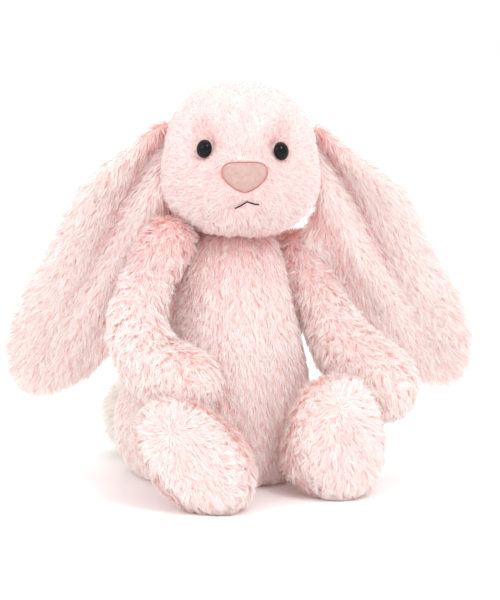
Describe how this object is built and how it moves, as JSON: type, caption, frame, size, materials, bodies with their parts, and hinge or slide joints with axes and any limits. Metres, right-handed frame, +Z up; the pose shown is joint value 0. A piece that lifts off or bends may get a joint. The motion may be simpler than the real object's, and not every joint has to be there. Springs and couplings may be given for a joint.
{
  "type": "stuffed bunny rabbit",
  "caption": "Seated plush rabbit with long lop ears, a round head, soft limbs with upright feet, black domed eyes, a velour nose and a fluffy tail.",
  "frame": {"origin": "middle of the bottom of the bounding box, on the surface that the rabbit sits on", "axes": "+Z up; the face looks along -Y; +X is the rabbit's left, along the spread of the ears; the torso is turned 34 degrees towards +X under the head"},
  "size_m": [0.2368, 0.1692, 0.2008],
  "materials": {
    "pink_plush": "long soft pile, pale pink",
    "belly_plush": "short soft pile combed down, slightly deeper pink",
    "ear_lining_plush": "soft pile, salmon pink in the folds",
    "cream_plush": "long fluffy pile, cream",
    "nose_velour": "flat short velour, dusty pink",
    "rose_thread": "embroidery thread, dull rose",
    "dark_thread": "embroidery thread, near black",
    "pink_thread": "sewing thread, pink",
    "eye_plastic": "polished black dome",
    "washer_plastic": "moulded, off-white",
    "stuffing": "loose polyester fibre, white",
    "pellet_bag": "cloth bag filled with plastic pellets",
    "ribbon": "woven satin ribbon, blank white"
  },
  "bodies": {
    "torso": {"torso_front_left_panel": "belly_plush", "torso_back_left_panel": "pink_plush", "torso_front_right_panel": "belly_plush", "torso_back_right_panel": "pink_plush", "torso_filling": "stuffing", "pellet_bag": "pellet_bag", "closing_stitch": "pink_thread", "care_label": "ribbon", "tail_cover": "cream_plush", "tail_filling": "stuffing"},
    "neck": {"neck_thread": "pink_thread"},
    "head": {"head_gusset": "pink_plush", "head_left_panel": "pink_plush", "head_right_panel": "pink_plush", "head_filling": "stuffing", "nose_patch": "nose_velour", "nose_edge_stitch": "rose_thread", "mouth_stitch": "dark_thread", "eye_left": "eye_plastic", "eye_washer_left": "washer_plastic", "eye_right": "eye_plastic", "eye_washer_right": "washer_plastic"},
    "ear_left": {"ear_left_lining": "ear_lining_plush", "ear_left_back": "pink_plush"},
    "ear_right": {"ear_right_lining": "ear_lining_plush", "ear_right_back": "pink_plush"},
    "arm_left": {"arm_left_outer_panel": "pink_plush", "arm_left_inner_panel": "pink_plush", "arm_left_filling": "stuffing"},
    "arm_right": {"arm_right_inner_panel": "pink_plush", "arm_right_outer_panel": "pink_plush", "arm_right_filling": "stuffing"},
    "leg_left": {"leg_left_outer_panel": "pink_plush", "leg_left_inner_panel": "pink_plush", "foot_left_sole": "pink_plush", "leg_left_filling": "stuffing"},
    "leg_right": {"leg_right_inner_panel": "pink_plush", "leg_right_outer_panel": "pink_plush", "foot_right_sole": "pink_plush", "leg_right_filling": "stuffing"}
  },
  "joints": [
    {"name": "neck_turn", "type": "hinge", "parent": "torso", "child": "neck", "pos_m": [-0.00106, 0.00024, 0.127], "axis": [0, 0, 1], "range_deg": [-5, 5]},
    {"name": "neck_nod", "type": "hinge", "parent": "neck", "child": "head", "pos_m": [-0.00106, 0.00024, 0.127], "axis": [0.9981, 0.0611, 0], "range_deg": [-4, 4]},
    {"name": "ear_left_lift", "type": "hinge", "parent": "head", "child": "ear_left", "pos_m": [0.04047, 0.00063, 0.17577], "axis": [0.0611, -0.9981, 0], "range_deg": [0, 90]},
    {"name": "ear_right_lift", "type": "hinge", "parent": "head", "child": "ear_right", "pos_m": [-0.03794, -0.00417, 0.17823], "axis": [-0.0611, 0.9981, 0], "range_deg": [0, 90]},
    {"name": "arm_left_swing", "type": "hinge", "parent": "torso", "child": "arm_left", "pos_m": [0.02794, 0.02074, 0.115], "axis": [-1, 0, 0], "range_deg": [0, 45]},
    {"name": "arm_right_swing", "type": "hinge", "parent": "torso", "child": "arm_right", "pos_m": [-0.03406, -0.02076, 0.126], "axis": [-0.829, -0.5592, 0], "range_deg": [0, 60]},
    {"name": "leg_left_spread", "type": "hinge", "parent": "torso", "child": "leg_left", "pos_m": [0.04744, -0.01276, 0.021], "axis": [0, 0, 1], "range_deg": [0, 20]},
    {"name": "leg_right_spread", "type": "hinge", "parent": "torso", "child": "leg_right", "pos_m": [-0.01506, -0.04876, 0.021], "axis": [0, 0, -1], "range_deg": [0, 20]}
  ]
}
